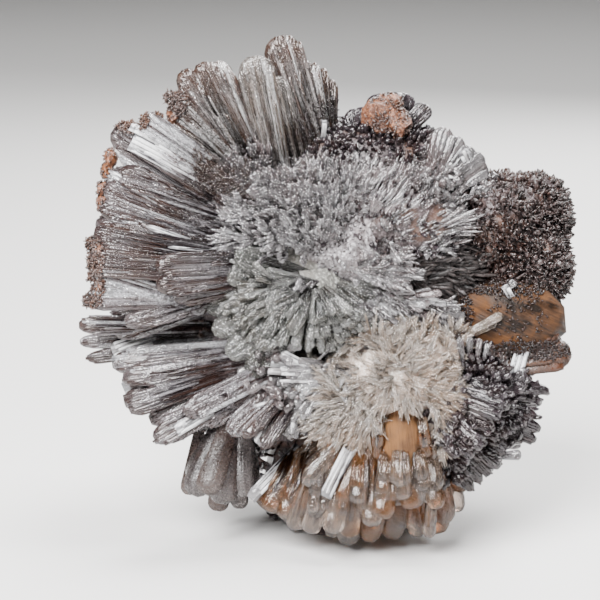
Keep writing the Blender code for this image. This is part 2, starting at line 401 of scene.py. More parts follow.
class Bed:
    """Crystals that wait to be grown as one mesh.

    A row holds where a crystal starts and ends, which way its flat side lies, its size and its shade."""

    def __init__(self, seed):
        self.rows = []
        self.chance = np.random.default_rng(seed)

    def place(self, mould, start, end, across, width, thickness, shade):
        """Adds crystals of one mould; each value is one row, or one number for all of them."""
        count = len(start)
        values = ((start, 3), (end, 3), (across, 3), (width, 1), (thickness, 1), (shade, 1))
        columns = [np.broadcast_to(np.asarray(value, float).reshape(-1, size), (count, size))
                   for value, size in values]
        self.rows.append((mould, np.concatenate(columns, axis=1)))

    def tongues(self, crystals, split=1, step=0.45, overlaid=0.5, shades=(0.15, 0.85), patchy=0.2, outward=-1,
                clear_tip=0.0):
        """Grows each main crystal as tongues side by side, each a row of laths with shorter ones laid on it.

        The laths are a step in millimetres apart, and are left off where it is None; overlaid is the share of
        shorter ones, and clear_tip the share of the tip that is left bare."""
        for root, towards, across, length, wide, thick in crystals:
            out = np.cross(towards, across)
            out = out * np.sign(np.dot(out, np.array(DEEPER)) * outward)
            for part in range(split):
                aside = (part - (split - 1) / 2) / split * wide
                reach = length * (1 - self.chance.uniform(0, 0.08) * (split > 1))
                base = root + across * aside * ROOTS_TOGETHER + out * self.chance.uniform(-0.12, 0.12) * thick
                tip = root + towards * reach + across * aside + out * self.chance.uniform(-0.15, 0.15) * thick
                self.tongue(base, tip, across, out, wide / split * (OVERLAP if split > 1 else 1), thick * 0.8,
                            step, overlaid, self.chance.uniform(*shades), patchy, clear_tip)

    def tongue(self, base, tip, across, out, wide, thick, step, overlaid, shade, patchy, clear_tip):
        """One tongue: a core, with laths this step apart on it and shorter laths laid over them."""
        self.place(TONGUE, base[None], (base + (tip - base) * CORE_LENGTH)[None], across,
                   wide * CORE_WIDTH, thick * CORE_THICKNESS, shade)
        if step is None:
            return
        count = max(3, round(wide / (step * MM)))
        under = (np.arange(count) + 0.5) / count - 0.5 + self.chance.uniform(-0.2, 0.2, count) / count
        over = self.chance.uniform(-0.42, 0.42, round(count * overlaid))
        for x, first, last, lift, width in (
                (under, self.chance.uniform(0, 0.1, count),
                 1 - self.chance.uniform(0, 0.05, count), 0.36, 1.7),
                (over, self.chance.uniform(0.1, 0.65, len(over)),
                 self.chance.uniform(0.6, 0.95, len(over)), 0.46, 1.1)):
            count_here = len(x)
            if not count_here:
                continue
            last = np.maximum(last, first + 0.25) * (1 - 0.1 * (2 * x) ** 2) * (1 - clear_tip)
            x = x * (1 - 0.25 * width / count)
            rise = thick * lift + self.chance.uniform(-0.06, 0.06, count_here) * MM
            ends = [base + np.outer(share, tip - base) + np.outer(x * wide * (0.7 + 0.3 * share), across)
                    + np.outer(rise * (0.85 + 0.15 * share), out) for share in (first, last)]
            roll = self.chance.normal(0, 0.12, count_here)
            facing = np.outer(np.cos(roll), across) + np.outer(np.sin(roll), out)
            self.place(LATHS[self.chance.integers(2)], ends[0], ends[1], facing,
                       wide / count * width * self.chance.uniform(0.8, 1.2, (count_here, 1)),
                       self.chance.uniform(0.4, 0.6, (count_here, 1)) * MM,
                       np.clip(shade + self.chance.normal(0, patchy, (count_here, 1)), 0, 1))

    def sheaves(self, count, middle, radii, turns, deeps, tilts, reach, strands, width, mould=None, inner=0.0,
                fan=12.0, wander=8.0, ragged=0.15, shades=(0.2, 0.8), patchy=0.2, thin=(0.5, 0.8), packed=1.5):
        """Small feather-like sheaves that radiate from a middle, rooted all over the dome round it.

        Each value in a pair is drawn between its two ends, but depths and tilts go from the middle outwards;
        inner is the share of the dome round its middle that is left free."""
        angle = self.chance.uniform(*turns, (count, 1))
        out = np.sqrt(self.chance.uniform(inner ** 2, 1, (count, 1)))
        x = (np.arange(strands) + 0.5) / strands - 0.5
        x = x + self.chance.uniform(-0.4, 0.4, (count, strands)) / strands
        turn = angle + self.chance.normal(0, wander, (count, 1)) + fan * 2 * x
        turn = turn + self.chance.normal(0, 1.5, (count, strands))
        tilt = tilts[0] + (tilts[1] - tilts[0]) * out + self.chance.normal(0, 5, (count, 1))
        tilt = tilt + self.chance.normal(0, 2, (count, strands))
        towards = headings(turn, tilt).reshape(-1, 3)
        length = self.chance.uniform(*reach, (count, 1)) * (1 - ragged * (2 * x) ** 2)
        length = length * (1 - self.chance.uniform(0, ragged, (count, strands)))
        wide = self.chance.uniform(*width, (count, 1))
        around, aside = np.radians(angle), np.radians(angle + 90)
        right = middle[0] + out * radii[0] * np.cos(around) + x * wide * 0.5 * np.cos(aside)
        up = middle[1] + out * radii[1] * np.sin(around) + x * wide * 0.5 * np.sin(aside)
        deep = deeps[0] + (deeps[1] - deeps[0]) * out ** 2 + self.chance.normal(0, 0.15, x.shape)
        root = np.stack([right, up, deep], axis=-1)
        start = on_face(root.reshape(-1, 3))
        across = np.cross(towards, np.array(DEEPER) + self.chance.normal(0, 0.2, towards.shape))
        shade = self.chance.uniform(*shades, (count, 1)) + self.chance.normal(0, patchy, x.shape)
        size = (wide / strands * packed * self.chance.uniform(0.8, 1.2, x.shape)).reshape(-1, 1) * MM
        self.place(mould or STRAND, start, start + towards * length.reshape(-1, 1) * MM, across, size,
                   size * self.chance.uniform(*thin, size.shape), np.clip(shade.reshape(-1, 1), 0, 1))

    def plates(self, crystals, shades=(0.3, 1.0), strip=1.1, mould=None):
        """Grows each crystal as one clear flat plate with thinner strips broken off unevenly lying along it."""
        for root, towards, across, length, wide, thick in crystals:
            out = np.cross(towards, across)
            out = out * -np.sign(np.dot(out, np.array(DEEPER)))
            strips = round(wide / (strip * MM))
            x = np.append(0, (np.arange(strips) + 0.5) / max(strips, 1) - 0.5)[:, None] * wide
            first = np.append(0, self.chance.uniform(0, 0.3, strips))[:, None] * length
            last = np.append(1, self.chance.uniform(0.7, 1.0, strips))[:, None] * length
            rise = np.append(0, self.chance.uniform(0.25, 0.4, strips))[:, None] * thick
            roll = np.append(0, self.chance.normal(0, 0.05, strips))
            facing = np.outer(np.cos(roll), across) + np.outer(np.sin(roll), out)
            base = root + x * across + rise * out
            self.place(mould or PLATE, base + towards * first, base + towards * last, facing,
                       np.append(wide, np.full(strips, wide / max(strips, 1) * 0.88))[:, None], thick * 0.7,
                       np.append(self.chance.uniform(0, 0.2) if strips else 0.9,
                                 self.chance.uniform(*shades, strips))[:, None])

    def sugar(self, count, middle, radii, lengths, widths, shades=(0, 0.85), lean=0.5, mould=None):
        """Scatters fine druse over what shows from in front within an oval, in millimetres."""
        angle = self.chance.uniform(0, 2 * math.pi, count)
        out = np.sqrt(self.chance.uniform(0, 1, count))
        hits = [met_from_front(middle[0] + radii[0] * r * math.cos(a), middle[1] + radii[1] * r * math.sin(a))
                for a, r in zip(angle, out)]
        self.stand([hit for hit in hits if hit], lengths, widths, shades, lean, mould)

    def stand(self, hits, lengths, widths, shades, lean, mould):
        """Stands one grain on each point of the cluster."""
        if not hits:
            return
        root, normal = (np.array(values) for values in zip(*hits))
        towards = normal + self.chance.normal(0, lean, normal.shape)
        towards = towards / np.linalg.norm(towards, axis=1, keepdims=True)
        length = self.chance.uniform(*lengths, (len(root), 1)) * MM
        kept = (root + towards * length)[:, 2] > OFF_THE_GROUND * MM
        root, towards, length = root[kept], towards[kept], length[kept]
        wide = self.chance.uniform(*widths, length.shape) * MM
        self.place(mould or GRAIN, root - towards * length * SUNK, root + towards * length * (1 - SUNK),
                   np.cross(towards, self.chance.normal(0, 1, root.shape)), wide,
                   wide * self.chance.uniform(0.6, 1.0, wide.shape), self.chance.uniform(*shades, wide.shape))

    def crust(self, mould, count, lump, lengths, widths, lean=0.35, facing=None):
        """Covers a lump with short crystals that stand on it; facing keeps those on one side of it."""
        middle, radii, _ = lump
        ball = self.chance.normal(0, 1, (count * 3, 3))
        ball = ball / np.linalg.norm(ball, axis=1, keepdims=True)
        if facing is not None:
            ball = ball[ball @ np.array(facing, float) > 0]
        place = np.array(middle) + ball * np.array(radii) * LUMP_SHRINK
        for other in LUMPS:
            if other is not lump:
                off = (place - np.array(other[0])) / np.array(other[1])
                kept = (off ** 2).sum(1) > BURIED
                ball, place = ball[kept], place[kept]
        ball, place = ball[:count], place[:count]
        normal = ball / np.array(radii)
        normal = normal / np.linalg.norm(normal, axis=1, keepdims=True) @ FACE_AXES
        self.stand(list(zip(on_face(place), normal)), lengths, widths, (0, 1), lean, mould)

    def grow(self, name, material):
        """Makes every waiting crystal a copy of its mould, joined in one mesh."""
        points_so_far = corners_so_far = 0
        arrays = {key: [] for key in ("co", "corners", "starts", "uv", "growth")}
        for (points, corners, starts), rows in self.rows:
            start, end, across = rows[:, 0:3], rows[:, 3:6], rows[:, 6:9]
            wide, thick, shade = rows[:, 9:10], rows[:, 10:11], rows[:, 11]
            along = end - start
            length = np.linalg.norm(along, axis=1, keepdims=True)
            towards = along / length
            across = across - towards * (across * towards).sum(1, keepdims=True)
            across = across / np.linalg.norm(across, axis=1, keepdims=True)
            out = np.cross(towards, across)
            count, per = len(rows), len(points)
            arrays["co"].append((start[:, None] + points[None, :, 0:1] * (across * wide)[:, None]
                                 + points[None, :, 1:2] * (out * thick)[:, None]
                                 + points[None, :, 2:3] * along[:, None]).reshape(-1, 3))
            each = np.arange(count)[:, None]
            arrays["corners"].append((corners[None] + each * per + points_so_far).ravel())
            arrays["starts"].append((starts[None] + each * len(corners) + corners_so_far).ravel())
            sides = (points[None, :, 0] * wide + points[None, :, 1] * thick) / MM
            sides = sides + shade[:, None] * STRIA_SHIFT[0]
            heights = points[None, :, 2] * length / MM + shade[:, None] * STRIA_SHIFT[1]
            arrays["uv"].append(np.stack([sides[:, corners], heights[:, corners]], axis=-1).reshape(-1, 2))
            growth = np.ones((count, per, 4))
            growth[..., 0] = shade[:, None]
            growth[..., 1] = points[None, :, 2]
            growth[..., 2] = np.modf(shade * SECOND_DRAW)[0][:, None]
            arrays["growth"].append(growth.reshape(-1, 4))
            points_so_far += count * per
            corners_so_far += count * len(corners)
        joined = {key: np.concatenate(parts) for key, parts in arrays.items()}
        joined["co"][:, 2] = np.maximum(joined["co"][:, 2], 0)  # cut off flat where the cluster rests
        mesh = bpy.data.meshes.new(name)
        mesh.vertices.add(len(joined["co"]))
        mesh.vertices.foreach_set("co", joined["co"].ravel())
        mesh.loops.add(len(joined["corners"]))
        mesh.loops.foreach_set("vertex_index", joined["corners"])
        mesh.polygons.add(len(joined["starts"]))
        mesh.polygons.foreach_set("loop_start", joined["starts"])
        mesh.update(calc_edges=True)
        mesh.uv_layers.new(name="striation").uv.foreach_set("vector", joined["uv"].ravel())
        mesh.color_attributes.new("growth", "FLOAT_COLOR", "POINT").data.foreach_set(
            "color", joined["growth"].ravel())
        obj = bpy.data.objects.new(name, mesh)
        bpy.context.scene.collection.objects.link(obj)
        grown_on(obj, material)


CREEDITE_IOR = 1.47


def crystal_finish(name, deep, body, painted_highlight, tip, tip_share, stain, stained, dust, rough=0.15, clear=0.7,
                   painted_glint_from=0.86, bumps=0.4, grit=0.5, streaks=3.4, coat=0.1):
    """Striated translucent creedite: streaked along its length, dusted with fine druse, stained in patches.

    The colour goes from deep in the striae to body, and to tip and stain by their shares. Where the glint level
    passes its threshold it turns to a painted highlight colour: white glints that stand in for the light the
    faces mirror."""
    finish = Finish(name)
    stria = finish.add("UVMap", {"uv_map": "striation"}, {})
    place = finish.add("TexCoord", {}, {}, out="Object")
    growth = finish.add("Attribute", {"attribute_name": "growth"}, {}, out="Color")
    shade, along, second = (finish.add("SeparateColor", {}, {0: growth}, out=channel) for channel in range(3))
    lines = finish.grain(finish.add("Mapping", {}, {"Vector": stria, "Scale": (2.4, 0.09, 1)}), 1.0, 5)
    bands = finish.grain(finish.add("Mapping", {}, {"Vector": stria, "Scale": (0.8, 0.07, 1)}), 1.0, 2)
    patch = finish.grain(place, 90)
    cloud = finish.grain(place, 420, 2)
    speck = finish.grain(place, 2600, 2)
    fine = finish.grain(place, 4600, 1)
    pale = ((lines - 0.5) * streaks + (bands - 0.5) * 1.6 + (cloud - 0.5) * 1.6
            + (fine - 0.5) * (grit * 5) + shade * 1.3)
    colour = finish.blend(pale.over(0.2, 1.2), deep, body)
    colour = finish.blend(along.over(0.6, 1.0) * tip_share, colour, tip)
    colour = finish.blend((patch + (second - 0.5) * 0.3).over(0.50, 0.62) * stained, colour, stain)
    # Painted highlight: where the shade and the pale striae run high, the colour turns white, as if the face
    # mirrored the light.
    painted_glint_level = shade + (lines - 0.5) * 0.9 + (cloud - 0.5) * 0.4 + (fine - 0.5) * (grit * 2)
    colour = finish.blend(painted_glint_level.over(painted_glint_from, painted_glint_from + 0.1), colour, painted_highlight)
    colour = finish.blend((speck + (cloud - 0.5) * 0.6).over(0.54, 0.60) * dust, colour, deep)
    return finish.surface(lines + speck * 0.6 + fine * grit, bumps, 0.3, {
        "Base Color": colour, "Roughness": speck.over(0.42, 0.6) * rough + rough * 0.6,
        "Transmission Weight": clear, "IOR": CREEDITE_IOR, "Coat Weight": coat, "Coat Roughness": 0.04})


violet_grey = crystal_finish(
    "violet_grey_blades", deep=(0.022, 0.014, 0.016), body=(0.69, 0.65, 0.68), painted_highlight=(0.95, 0.95, 0.98),
    tip=(0.14, 0.085, 0.075), tip_share=0.6, stain=(0.09, 0.045, 0.034), stained=0.8, dust=0.6, clear=0.75,
    painted_glint_from=0.82, grit=0.35)
WEST_HUB = (-2, 45.6)  # where the fan's blades would meet, right and up
west = Bed(11)
west.tongues(spray((*WEST_HUB, 8), (133, 206), -14, 8, (33, 38.5, 36), 7.0, 4.6), 2, patchy=0.3)
west.tongues(spray((*WEST_HUB, 5), (141, 153), -9, 3, (37.5, 40.5), 6.0, 3.6, wander=1.0), 2)
west.tongues(spray((*WEST_HUB, 3), (136, 204), -4, 9, (34, 37, 37), 6.6, 3.8), 2, patchy=0.3)
west.tongues(spray((*WEST_HUB, 0.5), (140, 198), 9, 7, (33.5, 33, 34), 6.0, 3.2), 2, patchy=0.3)
west.tongues(spray((-2, 45, 0), (180, 196), 20, 2, (30, 24), 6.4, 3.0), 2)
west.grow("west_fan", violet_grey)

west_top = Bed(12)
west_top.tongues(laid((
    ((-16.5, 56.3), (-33.0, 67.0), 5.4, 2.2),
    ((-17.6, 61.4), (-28.5, 68.8), 4.0, 2.0),
    ((-13.8, 53.4), (-32.0, 60.0), 4.4, 2.0),
    ((-14.4, 49.9), (-34.4, 57.6), 4.4, 2.0),
    ((-12.5, 47.5), (-35.2, 54.6), 4.0, 2.0),
    ((-11.7, 45.6), (-36.2, 50.4), 4.4, 2.0),
    ((-10.9, 43.5), (-37.4, 45.6), 4.4, 2.0),
    ((-18.1, 38.2), (-35.5, 43.5), 3.8, 2.0),
    ((-14.1, 39.5), (-38.1, 39.5), 3.4, 2.0),
    ((-16.5, 35.5), (-38.6, 35.5), 3.2, 2.0),
    ((-16.5, 33.9), (-38.4, 32.8), 2.6, 2.0),
    ((-18.1, 32.3), (-37.1, 30.2), 2.4, 2.0),
    ((-22.1, 31.5), (-35.2, 28.5), 2.0, 2.0),
)), shades=(0, 1), patchy=0.35)
west_top.sugar(1900, (-24, 47), (14, 16), (0.2, 0.4), (0.14, 0.28), (0, 0.3), lean=0.3)
west_top.sugar(2300, (-15, 54), (9, 8), (0.3, 0.6), (0.18, 0.36), (0, 0.5))
west_top.sheaves(70, (-9, 51), (8, 9), (100, 200), (-1, 3), (40, 15), (2.5, 4.5), 7, (1.4, 2.6), inner=0.2,
                 ragged=0.4)
west_top.grow("west_fan_top", violet_grey)

# ---- Bright faces, painted white -------------------------------------------------------------------------
# Creedite blades that lie with a clean broad face outwards, free of druse. They flash white where they mirror
# the light, and that flash is painted into their near-white colour as a highlight. Thin strips of the same
# crystal, broken off unevenly, lie along them.

# Near-white body and glints: a painted highlight for faces that mirror the light.
painted_highlight_face = crystal_finish(
    "painted_highlight_faces", deep=(0.04, 0.036, 0.04), body=(0.93, 0.93, 0.95), painted_highlight=(0.98, 0.98, 0.99),
    tip=(0.90, 0.90, 0.92), tip_share=0.2, stain=(0.60, 0.54, 0.52), stained=0.2, dust=0.1, rough=0.08,
    clear=0.3, painted_glint_from=0.75, bumps=0.3, grit=0.2, streaks=5.0, coat=0.4)
painted_highlight = Bed(13)
painted_highlight.plates(laid((
    ((-18.9, 59.6), (-29.6, 65.4), 3.8, 0.5),
    ((-24.0, 64.2), (-30.0, 67.4), 1.4, 0.4),
    ((-25.3, 33.9), (-33.0, 31.5), 2.4, 0.5),
    ((-18.9, 30.7), (-31.2, 25.4), 2.8, 0.6),
), proud=0.5), (0.6, 1), strip=0.62)
painted_highlight.plates(laid((
    ((-22.6, 53.4), (-33.4, 60.3), 1.2, 0.4),
    ((-20.5, 48.9), (-27.5, 51.4), 0.9, 0.4),
    ((-17.5, 47.3), (-24.0, 48.0), 0.5, 0.4),
    ((-22.0, 62.4), (-27.6, 65.8), 0.8, 0.4),
    ((-14.0, 62.0), (-21.6, 73.6), 0.8, 0.4),
    ((-13.0, 63.0), (-18.6, 74.6), 0.6, 0.4),
), proud=0.3), (0.3, 1), strip=0.3, mould=STRAND)

# ---- Upright fans at the top left -----------------------------------------------------------------------
# Two groups of tongues side by side, paler and greyer than the west fan, the right one brown at its tips.
# Fine druse has settled on the lower part of both.


def from_to(rows):
    """Crystals from a base to a tip, each given as right, up and deep, with its width and thickness."""
    return [crystal_between(on_face(base), on_face(tip), wide, thick) for base, tip, wide, thick in rows]


grey_brown = crystal_finish(
    "grey_brown_blades", deep=(0.01, 0.006, 0.005), body=(0.56, 0.51, 0.50), painted_highlight=(0.95, 0.93, 0.92),
    tip=(0.21, 0.125, 0.095), tip_share=0.6, stain=(0.11, 0.058, 0.04), stained=0.75, dust=0.65, clear=0.74,
    painted_glint_from=0.81, streaks=5.0)
pale_grey = crystal_finish(
    "pale_grey_blades", deep=(0.022, 0.017, 0.015), body=(0.73, 0.67, 0.64), painted_highlight=(0.95, 0.94, 0.93),
    tip=(0.44, 0.39, 0.35), tip_share=0.4, stain=(0.26, 0.19, 0.15), stained=0.5, dust=0.6, clear=0.78,
    painted_glint_from=0.82, streaks=5.2)
north = Bed(21)
north.tongues(spray((-6.9, 56.3, 6), (114, 146), -15, 4, (21, 24, 22), 5.5, 3.6), 2)
north.tongues(spray((-6.9, 61, 8), (62, 98), -16, 3, (14, 17, 16), 5.0, 3.4), 2)
north.tongues(from_to((
    ((-8, 57, 5), (-22.2, 76.8, 3.2), 5.0, 2.8),
    ((-8, 57, 4), (-19.2, 78.0, 2.6), 4.6, 2.8),
    ((-8, 57, 5), (-16.8, 78.3, 3.0), 4.8, 2.8),
    ((-8, 57, 5), (-14.4, 75.8, 4.2), 4.0, 2.6),
    ((-8, 57, 5), (-24.8, 73.2, 2.8), 3.0, 2.4),
    ((-8, 57, 5), (-24.0, 69.2, 4.2), 3.2, 2.4),
    ((2, 64, 7), (-2.2, 78.6, 6.4), 1.8, 1.8),
    ((2, 64, 7), (-0.6, 78.4, 5.4), 1.4, 1.6),
    ((2, 64, 7), (0.9, 77.6, 6.6), 1.8, 1.8),
    ((2.5, 64, 7.5), (2.2, 75.8, 7.4), 2.0, 1.8),
)), shades=(0, 1), patchy=0.35)
north.sugar(2900, (-10, 62), (10, 8), (0.3, 0.6), (0.18, 0.36), (0, 0.5))
north.tongues(from_to((
    ((1, 60, 6), (-6.6, 82.6, 4.6), 6.8, 3.0),
    ((1, 61, 6.6), (-3.4, 79.0, 6.2), 5.2, 2.8),
)), shades=(0.2, 0.5), patchy=0.35)
north.grow("upright_fans", grey_brown)
pale_north = Bed(22)
pale_north.tongues(from_to((
    ((-6.0, 58, 5), (-10.6, 79.2, 2.8), 6.2, 2.8),
    ((-3.0, 60, 5.4), (-7.0, 76.0, 4.0), 4.0, 2.2),
)), step=0.4, patchy=0.35)
pale_north.grow("pale_upright_blades", pale_grey)

# ---- Long tongues low on the left ------------------------------------------------------------------------
# Layered tongues with dark gaps between them. The smooth blades that hang under them are dull with dust,
# and show no laths.

SOUTH_WEST_HUB = (1, 32.3)
south_west = Bed(31)
south_west.tongues(spray((*SOUTH_WEST_HUB, 7), (188, 232), -18, 5, (33, 31, 29), 5.5, 4.0), 2)
south_west.tongues(spray((*SOUTH_WEST_HUB, 2), (182, 212), -1, 5, (38.5, 34.5, 31.5), 4.6, 4.0, wander=1.5), 1)
south_west.tongues(spray((*SOUTH_WEST_HUB, 0.5), (204, 240), 20, 5, (28.5, 23.5, 19.5), 3.8, 2.8), 1)
south_west.grow("south_west_tongues", violet_grey)
south_west_top = Bed(32)
south_west_top.tongues(laid((
    ((-14.9, 27.5), (-30.6, 22.2), 4.0, 2.4),
    ((-13.8, 23.8), (-26.4, 17.1), 3.5, 2.4),
    ((-10.9, 25.9), (-25.3, 19.5), 2.9, 2.2),
)))
south_west_top.sugar(700, (-20, 24), (10, 8), (0.2, 0.4), (0.14, 0.28), (0, 0.3), lean=0.3)
south_west_top.grow("south_west_top", violet_grey)
# Clean faces among these tongues, painted near-white as a highlight.
painted_highlight.plates(laid((
    ((-14.1, 23.7), (-22.7, 18.7), 2.1, 0.5),
    ((-9.4, 22.6), (-11.7, 18.1), 1.4, 0.5),
    ((-6.6, 21.0), (-9.7, 16.5), 1.9, 0.5),
    ((-5.9, 23.5), (-11.0, 22.0), 1.0, 0.5),
), proud=0.5), strip=0.7)

dusty = crystal_finish(
    "dusty_smooth_blades", deep=(0.05, 0.038, 0.038), body=(0.24, 0.21, 0.205), painted_highlight=(0.50, 0.48, 0.47),
    tip=(0.19, 0.17, 0.165), tip_share=0.3, stain=(0.13, 0.075, 0.055), stained=0.5, dust=0.5, rough=0.3,
    painted_glint_from=1.3, clear=0.6, streaks=3.0)
upright = Bed(33)
upright.tongues(spray((-13, 25, 6), (244, 276), 11, 4, (19.5, 19.5, 19), 4.8, 3.8), step=None)
upright.tongues(spray((-13, 24, 7), (234, 284), -20, 4, (18, 17), 4.8, 3.8), step=None)
upright.tongues(laid((
    ((-19.0, 18.4), (-20.8, 8.2), 3.2, 1.6),
    ((-17.4, 18.2), (-18.6, 6.4), 3.4, 1.6),
    ((-14.4, 16.0), (-16.2, 5.6), 3.8, 1.6),
    ((-12.4, 15.4), (-12.6, 6.0), 3.2, 1.6),
)), step=None)
upright.grow("dusty_upright_blades", dusty)

# ---- South skirt ----------------------------------------------------------------------------------------
# Layers of tongue-ended blades that hang along the bottom, rooted under the creamy dome. They are amber
# inside, with clear and grey rounded tips.

amber = crystal_finish(
    "amber_blades", deep=(0.07, 0.025, 0.009), body=(0.70, 0.47, 0.32), painted_highlight=(0.90, 0.82, 0.75),
    tip=(0.54, 0.47, 0.43), tip_share=0.8, stain=(0.50, 0.22, 0.07), stained=0.9, dust=0.1, rough=0.14,
    clear=0.93, painted_glint_from=1.0, bumps=0.5, grit=0.2, streaks=4.4)
SOUTH_HUB = (13, 27.5)
skirt = Bed(41)
for split, row in ((2, ((*SOUTH_HUB, 5), (222, 302), -10, 9, (30.5, 29.5, 26), 5.0, 3.4)),
                   (1, ((*SOUTH_HUB, 1), (218, 294), -1, 10, (31.5, 29.8, 26.5), 4.8, 3.0)),
                   (1, ((*SOUTH_HUB, -1), (222, 290), 12, 8, (25, 23.5, 21), 4.6, 2.8))):
    skirt.tongues(spray(*row), split, 0.5, 0.3, clear_tip=0.2)
skirt.grow("south_skirt", amber)
skirt_top = Bed(42)
skirt_top.tongues(laid((
    ((5.6, 11.5), (4.9, 1.6), 3.5, 2.0),
    ((4.4, 13.1), (2.1, 2.0), 3.8, 2.0),
    ((1.6, 12.1), (-1.4, 2.2), 3.4, 2.0),
    ((-0.8, 12.9), (-4.0, 2.8), 3.3, 2.0),
    ((-2.9, 14.1), (-5.4, 4.2), 3.2, 2.0),
    ((-3.7, 15.3), (-8.0, 5.4), 3.6, 2.0),
    ((-1.6, 15.6), (-2.7, 4.6), 2.6, 2.0),
    ((0.4, 15.1), (-0.8, 5.2), 2.4, 2.0),
    ((8.6, 11.5), (8.6, 3.2), 3.4, 2.0),
    ((7.0, 15.4), (6.4, 6.8), 3.6, 2.2),
    ((11.6, 14.4), (10.2, 4.4), 3.8, 2.2),
    ((13.2, 16.6), (15.4, 6.0), 4.2, 2.4),
    ((16.8, 15.3), (19.2, 6.0), 3.0, 2.0),
    ((18.0, 9.3), (17.8, 1.6), 2.2, 2.0),
)), step=0.5, overlaid=0.3, clear_tip=0.25)
skirt_top.tongues(laid((
    ((3.4, 14.4), (0.4, 5.2), 1.6, 1.0),
    ((9.6, 14.0), (9.8, 5.4), 1.8, 1.0),
    ((-2.2, 15.8), (-6.0, 7.4), 1.6, 1.0),
    ((14.8, 15.4), (17.6, 7.0), 1.8, 1.0),
)), step=0.5, overlaid=0.3, clear_tip=0.2)
skirt_top.grow("south_skirt_top", amber)

# ---- Lower right ----------------------------------------------------------------------------------------
# A bulge of short stout crystals in dark purple-grey. The smooth blades above them and the broad face on
# top of those are stained with rust, and brown druse grows along their edges.

brown_druse = crystal_finish(
    "brown_druse", deep=(0.01, 0.006, 0.005), body=(0.13, 0.09, 0.086), painted_highlight=(0.50, 0.46, 0.45),
    tip=(0.11, 0.073, 0.069), tip_share=0.4, stain=(0.075, 0.032, 0.021), stained=0.65, dust=0.5, rough=0.3,
    painted_glint_from=1.15, clear=0.6, coat=0.05)
dark_purple = crystal_finish(
    "dark_purple_blades", deep=(0.008, 0.005, 0.006), body=(0.115, 0.088, 0.10), painted_highlight=(0.55, 0.52, 0.57),
    tip=(0.12, 0.092, 0.104), tip_share=0.3, stain=(0.07, 0.036, 0.03), stained=0.45, dust=0.4, rough=0.14,
    painted_glint_from=1.1, clear=0.7, coat=0.15)
south_east = Bed(51)
south_east.tongues(spray((*SOUTH_HUB, 7), (304, 352), -16, 6, (26, 26, 28), 4.2, 3.6), 2)
south_east.tongues(spray((*SOUTH_HUB, 2), (300, 354), -1, 7, (25, 25, 27.5), 3.8, 3.2), 2)
south_east.tongues(spray((*SOUTH_HUB, -1), (300, 352), 15, 6, (18.5, 19, 21), 3.4, 2.8), 2)
south_east.grow("lower_right_blades", dark_purple)
teeth = Bed(53)
teeth.sheaves(130, SOUTH_HUB, (19, 18), (296, 362), (-3, 1), (40, 12), (2.4, 4.2), 3, (2.2, 3.6), TOOTH,
              inner=0.4, wander=30, ragged=0.3, packed=1.1)
teeth.sheaves(70, (24.5, 24.5), (7, 7), (0, 360), (-4, -2), (60, 15), (2.2, 3.8), 3, (2.0, 3.4), TOOTH,
              wander=30, ragged=0.3, packed=1.1)
teeth.sugar(160, (27, 22), (10, 9), (1.2, 2.4), (0.6, 1.2), (0.2, 1), lean=0.7, mould=TOOTH)
teeth.grow("lower_right_teeth", dark_purple)
rust = crystal_finish(
    "rust_stained_blades", deep=(0.03, 0.011, 0.005), body=(0.095, 0.038, 0.017), painted_highlight=(0.25, 0.16, 0.12),
    tip=(0.09, 0.038, 0.021), tip_share=0.3, stain=(0.07, 0.022, 0.008), stained=0.85, dust=0.3, painted_glint_from=1.4,
    clear=0.3, rough=0.45, streaks=2.4)
STAINED_HUB = (19.5, 28)
stained = Bed(52)
stained.tongues(spray((*STAINED_HUB, 8), (4, 42), -16, 4, (22.5, 22), 5.5, 3.6), step=1.5, overlaid=0.2)
stained.tongues(spray((*STAINED_HUB, 2), (6, 40), -1, 4, (22, 20.5), 5.5, 3.2), step=1.5, overlaid=0.2)
stained.grow("rust_stained_blades", rust)


def smooth_face(name, lump, material):
    """A smooth glassy lump between rougher crystals."""
    obj = lumps_joined(name, (lump,))
    bare()
    obj.select_set(True)
    bpy.ops.object.shade_smooth()
    grown_on(obj, material)


STAIN_IOR = 1.33  # under creedite's, so that a stained face doesn't mirror the room


def clear_stain(name, dark, pale, turn, clear, rough):
    """A smooth stained crystal face: striae along one turn on the show face, cloudy and clear in patches."""
    finish = Finish(name)
    place = finish.add("TexCoord", {}, {}, out="Object")
    along = finish.add("Mapping", {}, {"Vector": place, "Rotation": (0, math.radians(turn), 0)})
    lines = finish.grain(finish.add("Mapping", {}, {"Vector": along, "Scale": (160, 600, 2800)}), 1.0, 5)
    cloud = finish.grain(place, 300, 5)
    shade = (lines - 0.5) * 1.5 + (cloud - 0.5) * 3.4 + 0.5
    return finish.surface(lines + cloud, 0.6, 0.3, {
        "Base Color": finish.blend(shade.over(0, 1), dark, pale),
        "Roughness": cloud.over(0.4, 0.65) * rough + rough * 0.5,
        "Transmission Weight": clear, "IOR": STAIN_IOR})


RUST_FACE = ((29.4, 36.4, 2.6), (11.0, 6.6, 3.6), 0.06)
rust_stain = clear_stain(
    "rust_stain", dark=(0.008, 0.004, 0.002), pale=(0.095, 0.04, 0.015), turn=-25, clear=0.2, rough=0.8)
smooth_face("rust_stained_face", RUST_FACE, rust_stain)
rust_edge = Bed(54)
for count, middle, radii, longest in ((750, (30.5, 41.8), (9, 1.7), 0.8), (600, (34, 31.4), (7, 1.7), 0.8),
                                      (420, (22.2, 37.4), (2.8, 3.6), 0.9), (120, (32, 37), (5, 4), 0.8)):
    rust_edge.sugar(count, middle, radii, (0.3, longest), (0.2, 0.5), (0, 0.5), lean=0.6)
rust_edge.grow("rust_face_edge", brown_druse)
